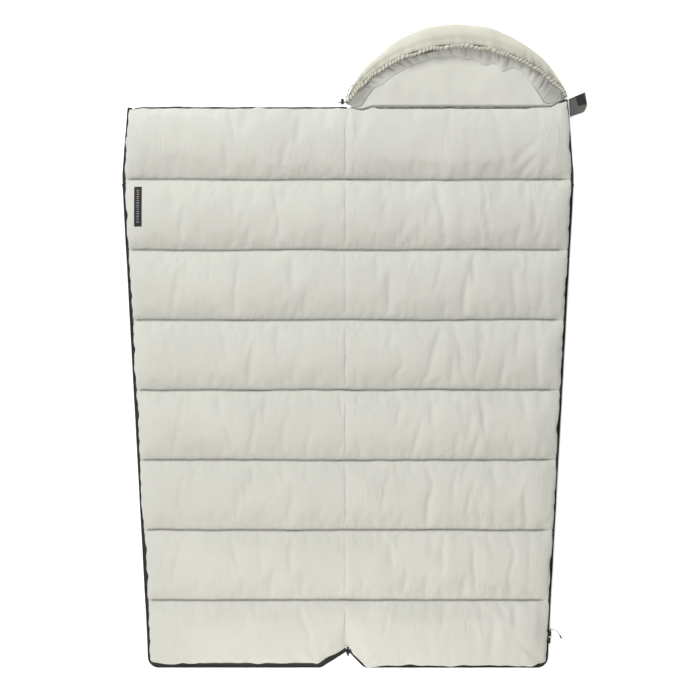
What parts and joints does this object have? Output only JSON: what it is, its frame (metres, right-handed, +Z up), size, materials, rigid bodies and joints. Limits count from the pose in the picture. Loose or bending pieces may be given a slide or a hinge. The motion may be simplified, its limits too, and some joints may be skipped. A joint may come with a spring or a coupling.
{
  "type": "hooded camp quilt",
  "caption": "Hooded rectangular sleeping bag, unzipped all round and laid flat as a channelled camp quilt, with hood drawcord, collar tab and a two-way zip edge.",
  "frame": {"origin": "on the fold line, halfway down the bag without its hood, at the level that the bag rests on", "axes": "+X across, towards the back half that carries the hood; +Y along the bag towards the head; +Z up, lining side up"},
  "size_m": [1.5775, 2.1778, 0.0539],
  "materials": {
    "shell_cloth": "plain-weave polyester, matt",
    "lining_cloth": "soft brushed polyester, matt",
    "fibre_fill": "hollow-fibre wadding",
    "binding_tape": "grosgrain and self-cloth binding",
    "zip_tape": "woven zip tape",
    "zip_coil": "moulded nylon coil",
    "hook_and_loop": "hook and loop",
    "woven_label": "woven label",
    "cord": "braided cord",
    "zip_metal": "black lacquer",
    "moulded_plastic": "moulded acetal"
  },
  "bodies": {
    "back_half": {"batt_back_1": "fibre_fill", "batt_back_2": "fibre_fill", "batt_back_3": "fibre_fill", "batt_back_4": "fibre_fill", "batt_back_5": "fibre_fill", "batt_back_6": "fibre_fill", "batt_back_7": "fibre_fill", "batt_back_8": "fibre_fill", "foot_coil_back": "zip_coil", "foot_slider_body": "zip_metal", "foot_tape_back": "zip_tape", "foot_zip_end_stop": "zip_metal", "lining_back": "lining_cloth", "neck_seam_binding": "binding_tape", "shell_back": "shell_cloth", "side_coil_back": "zip_coil", "side_tape_back": "zip_tape", "side_top_stop_back": "zip_metal", "side_zip_box": "moulded_plastic"},
    "front_half": {"batt_front_1": "fibre_fill", "batt_front_2": "fibre_fill", "batt_front_3": "fibre_fill", "batt_front_4": "fibre_fill", "batt_front_5": "fibre_fill", "batt_front_6": "fibre_fill", "batt_front_7": "fibre_fill", "batt_front_8": "fibre_fill", "foot_coil_front": "zip_coil", "foot_tape_front": "zip_tape", "head_binding_front": "binding_tape", "lining_front": "lining_cloth", "shell_front": "shell_cloth", "side_coil_front": "zip_coil", "side_label": "woven_label", "side_tape_front": "zip_tape", "side_top_stop_front": "zip_metal", "side_zip_pin": "moulded_plastic", "tab_loop_patch": "hook_and_loop"},
    "hood": {"hood_back_batt": "fibre_fill", "hood_back_lining": "lining_cloth", "hood_back_shell": "shell_cloth", "hood_cord_eyelet": "zip_metal", "hood_drawcord": "cord", "hood_hem_casing": "binding_tape", "hood_rim_batt": "fibre_fill", "hood_rim_lining": "lining_cloth", "hood_rim_shell": "shell_cloth", "drawcord_tail": "cord", "drawcord_tail_knot": "cord", "drawcord_knots": "cord"},
    "cord_lock": {"cord_lock_barrel": "moulded_plastic", "cord_lock_spring": "zip_metal"},
    "cord_lock_button": {"cord_lock_plunger": "moulded_plastic"},
    "collar_tab": {"collar_tab_webbing": "binding_tape", "collar_tab_hook_patch": "hook_and_loop"},
    "side_slider": {"side_slider_body": "zip_metal"},
    "side_pull": {"side_pull_tab": "zip_metal"},
    "side_pull_cord": {"side_pull_cord": "cord", "side_pull_grip": "moulded_plastic"},
    "foot_slider_pull": {"foot_pull_tab": "zip_metal"}
  },
  "joints": [
    {"name": "half_fold", "type": "hinge", "parent": "back_half", "child": "front_half", "pos_m": [0, 0, 0.035], "axis": [0, 1, 0], "range_deg": [0, 180]},
    {"name": "hood_lift", "type": "hinge", "parent": "back_half", "child": "hood", "pos_m": [0.369, 0.952, 0.017], "axis": [1, 0, 0], "range_deg": [0, 75]},
    {"name": "collar_tab_flip", "type": "hinge", "parent": "back_half", "child": "collar_tab", "pos_m": [0.75043, 0.918, 0.0042], "axis": [0.0756, -0.9971, 0], "range_deg": [0, 85]},
    {"name": "side_zip_slide", "type": "slide", "parent": "back_half", "child": "side_slider", "axis": [0.0546, 0.9985, 0], "range_m": [0, 1.5]},
    {"name": "side_pull_lift", "type": "hinge", "parent": "side_slider", "child": "side_pull", "pos_m": [0.68296, -0.83513, 0.0102], "axis": [0.9985, -0.0546, 0], "range_deg": [0, 165]},
    {"name": "side_pull_cord_swing", "type": "hinge", "parent": "side_pull", "child": "side_pull_cord", "pos_m": [0.6837, -0.82164, 0.0102], "axis": [0.9985, -0.0546, 0], "range_deg": [-165, 0]},
    {"name": "foot_pull_lift", "type": "hinge", "parent": "back_half", "child": "foot_slider_pull", "pos_m": [0, -0.894, 0.0102], "axis": [-1, 0, 0], "range_deg": [0, 150]},
    {"name": "cord_lock_slide", "type": "slide", "parent": "hood", "child": "cord_lock", "axis": [-1, 0, 0], "range_m": [-0.003, 0.003]},
    {"name": "cord_lock_press", "type": "slide", "parent": "cord_lock", "child": "cord_lock_button", "axis": [0, -1, 0], "range_m": [0, 0.002], "stiffness_N_per_m": 150, "deforming": ["cord_lock_spring"]}
  ],
  "couplings": [
    {"joint": "side_pull_cord_swing", "follows": "side_pull_lift", "ratio": -1}
  ]
}
